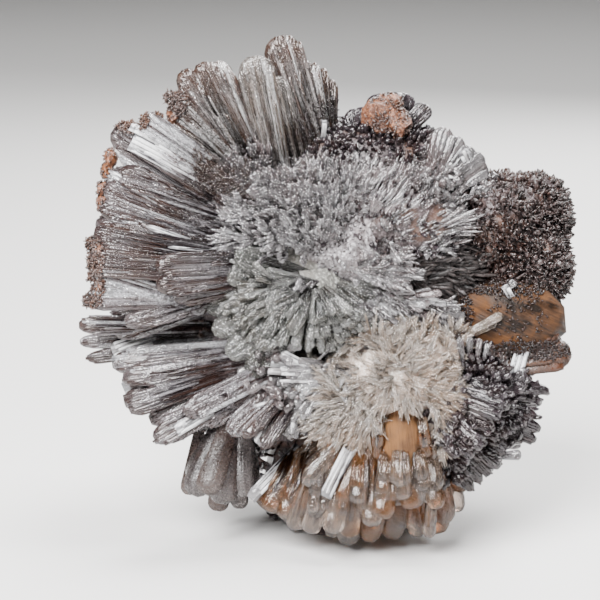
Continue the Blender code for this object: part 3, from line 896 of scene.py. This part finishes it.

# ---- Crown ----------------------------------------------------------------------------------------------
# A low dome of very fine pale needles in overlapping sheaves that radiate from one point above the middle.
# Sugary druse lies on its upper left, and a hollow opens at its right, whose dark needles are darkened further
# with painted shade.

silver = crystal_finish(
    "silver_needles", deep=(0.085, 0.072, 0.075), body=(0.86, 0.83, 0.845), painted_highlight=(0.97, 0.97, 0.98),
    tip=(0.86, 0.83, 0.845), tip_share=0.4, stain=(0.42, 0.31, 0.30), stained=0.5, dust=0.25, clear=0.85,
    rough=0.1, coat=0.3)
SILVER_CORE = ((6.5, 51, 1), (13.5, 10, 8.8), 0.05)
silver_druse = druse_finish(
    "silver_druse", dark=(0.20, 0.18, 0.185), pale=(0.62, 0.60, 0.61), rusty=(0.34, 0.27, 0.26), rust=0.4)
grown_on(lumps_joined("silver_core", (SILVER_CORE,)), silver_druse)
CROWN_HUB = (2.5, 44.5)
CROWN_TOP = (1.5, 46)
crown = Bed(61)
crown.sheaves(54, CROWN_HUB, (17, 14.5), (24, 74), (-8, -2), (18, -6), (5, 8), 4, (2.4, 4.0), LATHS[0],
              wander=12, ragged=0.4, thin=(0.15, 0.3), inner=0.45)
crown.sheaves(150, CROWN_HUB, (17.5, 14.5), (22, 78), (-8.6, -2.5), (18, -6), (4, 8), 10, (1.0, 2.2),
              wander=14, ragged=0.6, inner=0.5)
crown.sheaves(40, CROWN_HUB, (10, 8), (-20, 20), (-8.4, -7), (12, 0), (3, 5), 10, (1.0, 2.2),
              wander=16, ragged=0.6, inner=0.2)
crown.sheaves(56, (5, 45.5), (15, 12), (22, 56), (-5, -1), (14, 4), (8, 11), 9, (1.2, 2.2), inner=0.7,
              ragged=0.4)
crown.sheaves(150, CROWN_TOP, (17, 15), (62, 186), (-8.6, -2), (34, 6), (2.0, 4.0), 7, (1.0, 2.2),
              wander=34, ragged=0.5, inner=0.2)
crown.sheaves(120, CROWN_TOP, (16, 14), (62, 186), (-8.4, -2), (38, 10), (1.6, 3.2), 3, (1.2, 2.8), LATHS[0],
              wander=34, ragged=0.4, inner=0.2, thin=(0.2, 0.4))
crown.sheaves(40, (5, 47), (12, 8), (0, 360), (-8.6, -6), (40, 10), (1.6, 3.2), 5, (1.0, 2.2), wander=60,
              ragged=0.5)
crown.sheaves(36, (-8, 55), (9, 9), (85, 165), (1, 3), (34, 10), (2.0, 3.6), 6, (1.2, 2.4), LATHS[0],
              ragged=0.3, thin=(0.2, 0.4), shades=(0, 0.3))
crown.sheaves(56, (4, 46.5), (17, 11), (6, 42), (-7.4, -1.6), (24, 4), (3, 5), 8, (1.0, 2.0), wander=14,
              ragged=0.5, inner=0.6)
crown.sheaves(132, (0, 49), (15, 11), (55, 195), (-9.0, -4.5), (26, 4), (2.4, 4.6), 8, (0.9, 1.8), wander=22,
              ragged=0.5, inner=0.15)
crown.grow("crown_needles", silver)
cavity = Bed(63)
cavity.sheaves(80, (3, 45), (19, 11), (-26, 22), (-6, 1), (14, 0), (3, 6), 7, (1.4, 2.8), wander=20, ragged=0.5,
               inner=0.62)
cavity.sheaves(50, (3, 45), (22, 12), (-30, 20), (-4, 2), (14, 0), (2.5, 5), 3, (1.4, 2.8), TOOTH, wander=30,
               ragged=0.5, inner=0.7, packed=1.0)
# Dark needles in the hollow, darkened further with painted shade for the shadow the hollow lies in.
painted_shade_needles = crystal_finish(
    "painted_shade_needles", deep=(0.004, 0.003, 0.003), body=(0.055, 0.04, 0.038), painted_highlight=(0.2, 0.18, 0.18),
    tip=(0.05, 0.036, 0.034), tip_share=0.4, stain=(0.03, 0.02, 0.017), stained=0.6, dust=0.6, rough=0.5,
    clear=0.3, painted_glint_from=1.0, coat=0)
cavity.grow("painted_shade_hollow", painted_shade_needles)
crown_sugar = Bed(62)
crown_sugar.sugar(1500, (-1, 55), (9, 8), (0.3, 0.65), (0.16, 0.34), (0, 0.6))
crown_sugar.sugar(700, (-11, 59), (6, 5), (0.3, 0.65), (0.16, 0.34), (0, 0.4))
crown_sugar.sugar(1100, (4, 50), (11, 9), (0.25, 0.55), (0.15, 0.30), (0.1, 0.9), lean=0.4)
crown_sugar.grow("crown_druse", silver)

# ---- Rosette --------------------------------------------------------------------------------------------
# The greenish-cream middle: broad petal-like tongues laid over each other to the left, and clear blades that
# point down.

cream = crystal_finish(
    "cream_blades", deep=(0.025, 0.024, 0.022), body=(0.70, 0.685, 0.65), painted_highlight=(0.97, 0.97, 0.955),
    tip=(0.72, 0.72, 0.67), tip_share=0.4, stain=(0.24, 0.19, 0.14), stained=0.5, dust=0.5, grit=0.5,
    clear=0.9, rough=0.14, painted_glint_from=0.82, bumps=0.7, streaks=5.4)
ROSETTE_CORE = ((-2.5, 41, 2), (10, 8, 8.2), 0.05)
cream_druse = druse_finish(
    "cream_druse", dark=(0.16, 0.155, 0.14), pale=(0.52, 0.515, 0.47), rusty=(0.34, 0.30, 0.26), rust=0.3)
grown_on(lumps_joined("rosette_core", (ROSETTE_CORE,)), cream_druse)
ROSETTE_HUB = (-0.5, 42.5)
rosette = Bed(71)
rosette.tongues(spray((1.1, 44, -0.5), (205, 350), 21, 9, (16.5, 13.5, 15), 4.0, 2.4), step=0.33)
for row, wander in ((((*ROSETTE_HUB, -2), (146, 240), 6, 10, (17, 19.5, 19), 4.2, 1.0), 5),
                    (((*ROSETTE_HUB, -4), (152, 246), 8, 9, (13, 15, 14), 3.6, 0.9), 7),
                    (((-0.8, 42, -6), (160, 256), 6, 7, (8.5, 10), 3.0, 0.8), 8)):
    rosette.tongues(spray(*row, wander=wander, roll=20), step=0.33)
rosette.grow("rosette_blades", cream)
down = Bed(72)
down.tongues(laid((
    ((-2.2, 41.6), (-9.0, 33.4), 2.2, 0.8),
    ((-1.8, 41.0), (-6.4, 32.0), 1.8, 0.8),
    ((-1.4, 41.0), (-3.8, 31.6), 1.7, 0.8),
    ((-0.8, 41.0), (-1.6, 31.0), 1.6, 0.8),
    ((-0.2, 41.0), (0.6, 30.8), 1.5, 0.8),
    ((0.4, 41.0), (2.8, 31.6), 1.6, 0.8),
    ((1.0, 41.0), (5.0, 32.6), 1.7, 0.8),
    ((1.6, 41.4), (7.4, 34.4), 1.6, 0.8),
    ((2.4, 42.0), (9.8, 36.6), 1.8, 0.8),
    ((3.0, 42.6), (11.4, 39.2), 1.6, 0.8),
    ((-2.6, 42.4), (-11.6, 36.8), 2.6, 0.8),
    ((-2.8, 43.2), (-12.8, 40.4), 2.8, 0.8),
), proud=0.5), step=0.4, shades=(0.35, 1), patchy=0.3)
down.sheaves(26, (0, 42), (6, 6.5), (228, 320), (-8.4, -6), (16, 0), (4.5, 7), 2, (1.8, 3.0), LATHS[0],
             fan=8, shades=(0.3, 1), thin=(0.15, 0.3), ragged=0.3)
down.sheaves(60, (-4, 41.5), (9, 7.5), (150, 262), (-8.2, -4.5), (18, 2), (3, 5.5), 3, (1.2, 2.2), LATHS[0],
             fan=8, shades=(0.2, 1), thin=(0.15, 0.3), ragged=0.4, inner=0.3)
down.grow("rosette_top", cream)

# ---- Glassy rubble under the rosette ----------------------------------------------------------------------
# Small clear and grey crystals, some of them broken plates, that lie every way between the rosette and the
# creamy dome.

rubble = Bed(75)
rubble.sheaves(90, (6, 29), (15, 9), (178, 240), (-4.5, -2.5), (20, 4), (4.5, 7.5), 3, (1.8, 3.2), LATHS[0],
               shades=(0.2, 1), thin=(0.15, 0.3), ragged=0.3, wander=14)
rubble.sheaves(54, (1.5, 43.5), (20, 12), (292, 338), (-6.5, -3), (14, -4), (3.5, 6.5), 3, (1.8, 3.0), LATHS[1],
               inner=0.45, shades=(0.1, 1), thin=(0.15, 0.3), ragged=0.4, wander=18, patchy=0.3)
rubble.sheaves(46, (1.5, 43.5), (20, 12), (292, 338), (-6.5, -3), (14, -4), (3, 5.5), 9, (1.2, 2.2),
               inner=0.45, shades=(0.1, 1), ragged=0.5, wander=22)
rubble.sugar(90, (-3, 27), (9, 5), (1.2, 2.8), (0.6, 1.4), lean=0.9, mould=PLATE)
rubble.grow("glassy_rubble", silver)

# ---- Creamy dome ----------------------------------------------------------------------------------------
# The second centre, right of the middle: fine cream fibres of creedite that spill over the skirt. Low on it
# a window of clear amber crystal opens above a fringe of small tongues.

creamy = crystal_finish(
    "creamy_fibres", deep=(0.52, 0.43, 0.36), body=(0.94, 0.885, 0.83), painted_highlight=(0.98, 0.965, 0.95),
    tip=(0.94, 0.885, 0.83), tip_share=0.4, stain=(0.74, 0.50, 0.33), stained=0.5, dust=0.0, clear=0.87,
    grit=0.25, bumps=0.25, painted_glint_from=0.9)
DOME_CORE = ((13.2, 27.6, 1), (12, 10, 8), 0.05)
dome_druse = druse_finish(
    "dome_druse", dark=(0.42, 0.33, 0.27), pale=(0.82, 0.75, 0.69), rusty=(0.60, 0.42, 0.30), rust=0.4)
grown_on(lumps_joined("dome_core", (DOME_CORE,)), dome_druse)
dome = Bed(81)
dome.tongues(spray((14, 28, 1), (-30, 80), 12, 6, (13.5, 13.5), 3.0, 1.6))
dome.tongues(spray((13, 28, 1), (96, 225), 14, 7, (14, 14.5), 3.0, 1.6))
for *fibres, wander, ragged, inner in (
    # sheaves, middle, radii, turns, depths, tilts, lengths, fibres in each, widths
    (215, (12.6, 27.8), (9.5, 8.5), (-40, 250), (-7.9, -4.6), (12, -12), (2.2, 4.4), 8, (0.5, 1.0), 20, 0.6, 0),
    (230, (5.6, 24.4), (9, 8), (130, 320), (-6.8, -3.6), (14, -10), (2.2, 4.4), 8, (0.5, 1.0), 34, 0.6, 0),
    (90, (16.8, 25.0), (6, 6), (-70, 60), (-6.6, -4.6), (14, -10), (2.2, 4.2), 8, (0.5, 1.0), 34, 0.6, 0),
    (50, (19, 20.5), (2.6, 5), (200, 340), (-5.4, -3.6), (14, -4), (2.5, 4.5), 8, (0.5, 1.0), 34, 0.6, 0),
    (110, (10, 32), (8, 5), (20, 170), (-6.4, -4), (20, 0), (2.5, 5), 7, (0.5, 1.0), 40, 0.6, 0),
    (175, (11, 26), (13, 11), (196, 252), (-7, -4.6), (8, -12), (3, 5.4), 8, (0.55, 1.1), 26, 0.6, 0.4),
    (60, (12.6, 27.8), (3.4, 3.4), (0, 360), (-8.4, -8), (16, 6), (3, 5), 8, (0.5, 0.9), 60, 0.5, 0),
    (26, (13, 24), (4, 1.4), (180, 360), (-7.9, -7.2), (2, -12), (2.0, 3.6), 8, (0.5, 1.0), 20, 0.6, 0),
    (24, (19.8, 31.6), (4, 4), (-30, 110), (-5.4, -3.4), (14, -6), (2.0, 3.8), 8, (0.5, 1.0), 40, 0.6, 0),
):
    dome.sheaves(*fibres, wander=wander, ragged=ragged, inner=inner, patchy=0.15)
dome.grow("creamy_dome", creamy)
WINDOW = ((13.2, 17.0, -4.0), (3.8, 6.0, 2.8), 0.10)
amber_glass = clear_stain(
    "amber_glass", dark=(0.07, 0.028, 0.01), pale=(0.32, 0.15, 0.058), turn=95, clear=0.6, rough=0.7)
smooth_face("amber_window", WINDOW, amber_glass)
streak = Bed(83)
streak.tongues(laid((
    ((24.2, 34.4), (29.6, 37.2), 1.5, 0.5),
    ((24.6, 33.6), (28.8, 35.8), 0.8, 0.4),
), sunk=0.2, proud=0.1), step=0.3)
streak.grow("pink_streak", creamy)
window = Bed(82)
window.tongues(laid((
    ((13.2, 15.6), (13.4, 7.4), 3.6, 1.6),
    ((15.8, 15.8), (17.0, 8.8), 2.6, 1.4),
    ((11.0, 15.2), (10.4, 8.4), 2.6, 1.4),
    ((9.8, 20.4), (9.4, 14.0), 2.0, 1.2),
    ((16.6, 20.8), (17.4, 14.2), 2.0, 1.2),
), proud=0.4), step=0.5, overlaid=0.3, clear_tip=0.25)
window.grow("window_fringe", amber)

# ---- Top right and right-hand lump ----------------------------------------------------------------------
# Rough small crystals in dark druse behind the crown, with a few clear plates beside it, and brown druse
# all over the lump at the right and along the left rim.

top = Bed(91)
top.tongues(spray((9, 60, 8), (68, 112), 2, 5, (12.5, 11.5), 3.6, 3.2, wander=8, uneven=0.1, roll=45))
top.tongues(spray((9, 60, 11), (50, 130), -22, 5, (12, 12), 4.4, 3.8, wander=8, uneven=0.1, roll=45))
top.tongues(spray((12, 65, 8), (30, 150), 5, 5, (9.2, 9.2, 8), 3.8, 3.8, wander=8, uneven=0.1, roll=45))
top.crust(TOOTH, 700, TOP_LUMP, (1.0, 2.6), (0.5, 1.3), facing=(0, 0.2, -1))
top.crust(TOOTH, 300, CROWN_LUMP, (0.8, 2.2), (0.4, 1.0))
top.crust(LATHS[0], 400, TOP_LUMP, (0.8, 2.6), (0.5, 1.4), facing=(0, 0.2, 1))
top.sugar(1600, (10, 67), (14, 6), (0.3, 0.6), (0.18, 0.36), (0, 0.4))
top.grow("top_druse", dark_purple)
top_plates = Bed(96)
top_plates.tongues(spray((17.5, 55, 3), (26, 80), 2, 5, (12.5, 13), 3.6, 2.6), step=1.0, shades=(0, 0.4))
top_plates.sugar(300, (22.5, 60.5), (6, 5), (0.8, 2.0), (0.5, 1.2), (0, 1), lean=0.8, mould=PLATE)
top_plates.sugar(1500, (22, 60), (7, 6), (0.3, 0.8), (0.2, 0.42), (0, 0.7), lean=0.6)
top_plates.grow("upper_right_crystals", silver)
right = Bed(92)
for lump in (RIGHT_LUMP, RIGHT_LOW_LUMP, RIGHT_TOP_LUMP):
    right.crust(STRAND, 1540, lump, (0.9, 2.2), (0.18, 0.42), lean=0.8)
    right.crust(LATHS[0], 90, lump, (1.2, 2.6), (0.5, 1.2), lean=0.7)
right.crust(TOOTH, 600, RUST_LUMP, (0.6, 1.6), (0.4, 1.0), lean=0.6)
for lump, count in ((HEART_LUMP, 300), (SOUTH_LUMP, 250), (WEST_LUMP, 150)):
    right.crust(TOOTH, count, lump, (0.8, 2.2), (0.4, 1.1), facing=(0, 0, -1))
right.grow("right_druse", brown_druse)
rim_druse = crystal_finish(
    "rim_druse", deep=(0.022, 0.013, 0.011), body=(0.21, 0.145, 0.13), painted_highlight=(0.62, 0.56, 0.54),
    tip=(0.24, 0.175, 0.16), tip_share=0.4, stain=(0.17, 0.075, 0.04), stained=0.6, dust=0.3, rough=0.2,
    clear=0.4, painted_glint_from=1.0, coat=0.1)
rim = Bed(93)
for middle, radii in (((-35.4, 62.7), (2.6, 4.0)), ((-36.5, 56.0), (2.4, 4.0)), ((-36.6, 46.4), (2.4, 3.6)),
                      ((-36.5, 41.4), (2.4, 3.4)), ((-30.0, 68.4), (3.0, 2.2)), ((-23.8, 71.0), (3.0, 2.4))):
    rim.sugar(420, middle, radii, (0.4, 0.9), (0.25, 0.55), (0, 0.8))
rim.grow("brown_rim", rim_druse)

# ---- Lone plates ----------------------------------------------------------------------------------------
# Single clear blades and plates that stand out from the druse round them, each of them one crystal that
# outgrew the rest. They share the bright faces' finish, whose near-white colour is a painted highlight.

painted_highlight.plates(laid((
    ((-2.9, 16.0), (-10.9, 7.8), 2.0, 0.6),
    ((5.1, 16.0), (1.1, 8.0), 2.0, 0.6),
    ((-0.3, 27.7), (-8.0, 28.2), 1.1, 0.4),
    ((-0.3, 27.9), (-7.5, 29.4), 1.2, 0.4),
    ((-0.5, 28.2), (-6.8, 30.5), 1.2, 0.4),
    ((-0.8, 28.5), (-5.8, 31.2), 1.1, 0.4),
    ((4.3, 26.2), (-6.1, 26.6), 0.5, 0.4),
    ((32.7, 31.5), (31.3, 27.0), 2.4, 0.5),
    ((24.3, 61.3), (23.2, 63.5), 1.9, 0.5),
    ((31.2, 39.4), (29.8, 41.9), 1.2, 0.5),
    ((0.8, 64.8), (1.1, 68.3), 0.9, 0.5),
), proud=0.5), strip=0.7)
painted_highlight.grow("painted_highlight_faces", painted_highlight_face)
clear_blades = Bed(94)
clear_blades.tongues(laid((
    ((23.2, 29.4), (22.6, 33.6), 1.0, 0.6),
    ((24.3, 29.6), (24.3, 33.8), 1.0, 0.6),
    ((25.4, 29.8), (25.9, 33.4), 1.0, 0.6),
    ((26.6, 30.0), (27.2, 32.6), 0.9, 0.6),
    ((29.3, 14.6), (32.6, 14.8), 1.6, 0.8),
    ((29.4, 40.6), (31.6, 42.6), 1.4, 0.8),
), proud=0.5), step=0.4)
clear_blades.grow("clear_blades", silver)

# ---- Orange nodules ---------------------------------------------------------------------------------------
# Small rounded lumps, stained orange, that sit on the blades along the left rim and on the top, under a
# crust of fine druse.

orange = druse_finish(
    "orange_nodules", dark=(0.08, 0.028, 0.014), pale=(0.30, 0.13, 0.07), rusty=(0.18, 0.065, 0.025),
    rust=0.8)
NODULES = (((-34.8, 55.2, 3.5), (1.0, 1.7, 1.4), 0.25), ((-35.0, 57.4, 3.2), (0.9, 1.3, 1.2), 0.25),
           ((-34.9, 47.6, 3.0), (1.3, 1.5, 1.5), 0.25), ((-35.4, 45.2, 3.2), (1.1, 1.4, 1.3), 0.25),
           ((-34.8, 41.4, 3.5), (1.1, 1.3, 1.3), 0.25), ((-33.6, 62.6, 4.0), (1.1, 1.6, 1.4), 0.25),
           ((-34.2, 60.4, 4.0), (1.0, 1.3, 1.3), 0.25), ((-23.4, 69.4, 4.0), (1.1, 1.7, 1.3), 0.25),
           ((10.0, 69.4, 4.4), (2.6, 3.0, 2.4), 0.25), ((12.8, 68.2, 4.4), (2.4, 2.6, 2.2), 0.25),
           ((11.6, 71.2, 4.8), (2.2, 2.0, 2.0), 0.25))
grown_on(lumps_joined("orange_nodules", NODULES), orange)
nodule_crust = Bed(95)
for nodule in NODULES:
    nodule_crust.crust(GRAIN, round(58 * nodule[1][0] ** 2), nodule, (0.2, 0.4), (0.3, 0.55), lean=0.2)
nodule_crust.grow("nodule_druse", rim_druse)

# ---- Back -----------------------------------------------------------------------------------------------
# Coarser, duller sprays of the same blades, which stand out backwards, and a crust of short laths round the
# foot.

back = Bed(101)
for row in (((-8, 45, 8), (125, 240), -36, 8, (27, 28, 25), 6.4, 4.8),
            ((14, 42, 8), (-62, 62), -36, 8, (23, 25, 23), 5.6, 4.6),
            ((3, 52, 8), (66, 118), -36, 4, (23, 23), 5.8, 4.6),
            ((-8, 42, 8), (20, 340), -62, 6, (22, 22), 7.2, 6.2),
            ((12, 40, 8), (-150, 150), -62, 6, (21, 21), 7.0, 6.0)):
    back.tongues(spray(*row), 2, outward=1)
back.sheaves(96, (2, 42), (24, 22), (0, 360), (22, 16), (-75, -35), (4, 7), 6, (2.4, 4), LATHS[0], wander=20,
             thin=(0.25, 0.45))
back.crust(LATHS[0], 650, FOOT_LUMP, (0.6, 1.8), (0.5, 1.5))
back.grow("back_blades", violet_grey)

# ---- Studio ---------------------------------------------------------------------------------------------
# A plain pale floor that curves up behind, soft lights, and a camera straight in front of the leaning show
# face.

bare()
bpy.ops.mesh.primitive_plane_add(size=3, location=(0, 0.4, 0))
floor = bpy.context.object
floor.name = "floor"
bpy.ops.object.transform_apply(location=True)
edit(floor, lambda co: co.y > 1)
bpy.ops.mesh.extrude_region_move(TRANSFORM_OT_translate={"value": (0, 0.3, 1.6)})
bpy.ops.object.mode_set(mode="OBJECT")
paper = Finish("pale_floor")
paper.feed(paper.shader.inputs["Base Color"], (0.62, 0.61, 0.60))
paper.feed(paper.shader.inputs["Roughness"], 0.9)
floor.data.materials.append(paper.material)

LIT = (0, 0, 0.04)  # the middle of the cluster, which the lights are aimed at
WALL = (0, 1.4, 0.5)  # where the floor curves up behind


def softbox(name, place, target, size, power):
    """A soft rectangular light; sizes and places in metres, power in watts."""
    data = bpy.data.lights.new(name, "AREA")
    data.shape = "RECTANGLE"
    data.size, data.size_y = size
    data.energy = power
    lamp = bpy.data.objects.new(name, data)
    lamp.location = place
    lamp.rotation_euler = (Vector(target) - Vector(place)).to_track_quat("-Z", "Y").to_euler()
    bpy.context.scene.collection.objects.link(lamp)


softbox("key", (-0.20, -0.36, 0.40), LIT, (0.34, 0.34), 16)
softbox("fill", (0.40, -0.35, 0.15), LIT, (0.35, 0.35), 0.6)
softbox("top", (0.12, 0.02, 0.50), LIT, (0.25, 0.25), 6)
softbox("rear", (0.18, 0.42, 0.34), LIT, (0.3, 0.3), 5)
softbox("backdrop", (0, 0.55, 0.9), WALL, (1.2, 0.4), 9)

world = bpy.data.worlds.new("studio")
world.use_nodes = True
world.node_tree.nodes["Background"].inputs["Color"].default_value = (1, 1, 1, 1)
world.node_tree.nodes["Background"].inputs["Strength"].default_value = 0.06
bpy.context.scene.world = world

PIXEL = 0.16  # millimetres on the show face for each pixel
FRAME = 600  # pixels across
ZERO_ACROSS, ZERO_DOWN = 318, 547  # the pixel at right 0 and up 0 on the show face
FILM = 36  # millimetres
middle = Vector(on_face(((FRAME / 2 - ZERO_ACROSS) * PIXEL, (ZERO_DOWN - FRAME / 2) * PIXEL, 0)))
camera_data = bpy.data.cameras.new("camera")
camera_data.sensor_width = FILM
camera_data.lens = FILM * EYE_OUT / (FRAME * PIXEL)
camera_data.clip_start = 0.01
camera = bpy.data.objects.new("camera", camera_data)
camera.location = middle - DEEPER * EYE_OUT * MM
camera.rotation_euler = DEEPER.to_track_quat("-Z", "Y").to_euler()
bpy.context.scene.collection.objects.link(camera)
bpy.context.scene.camera = camera
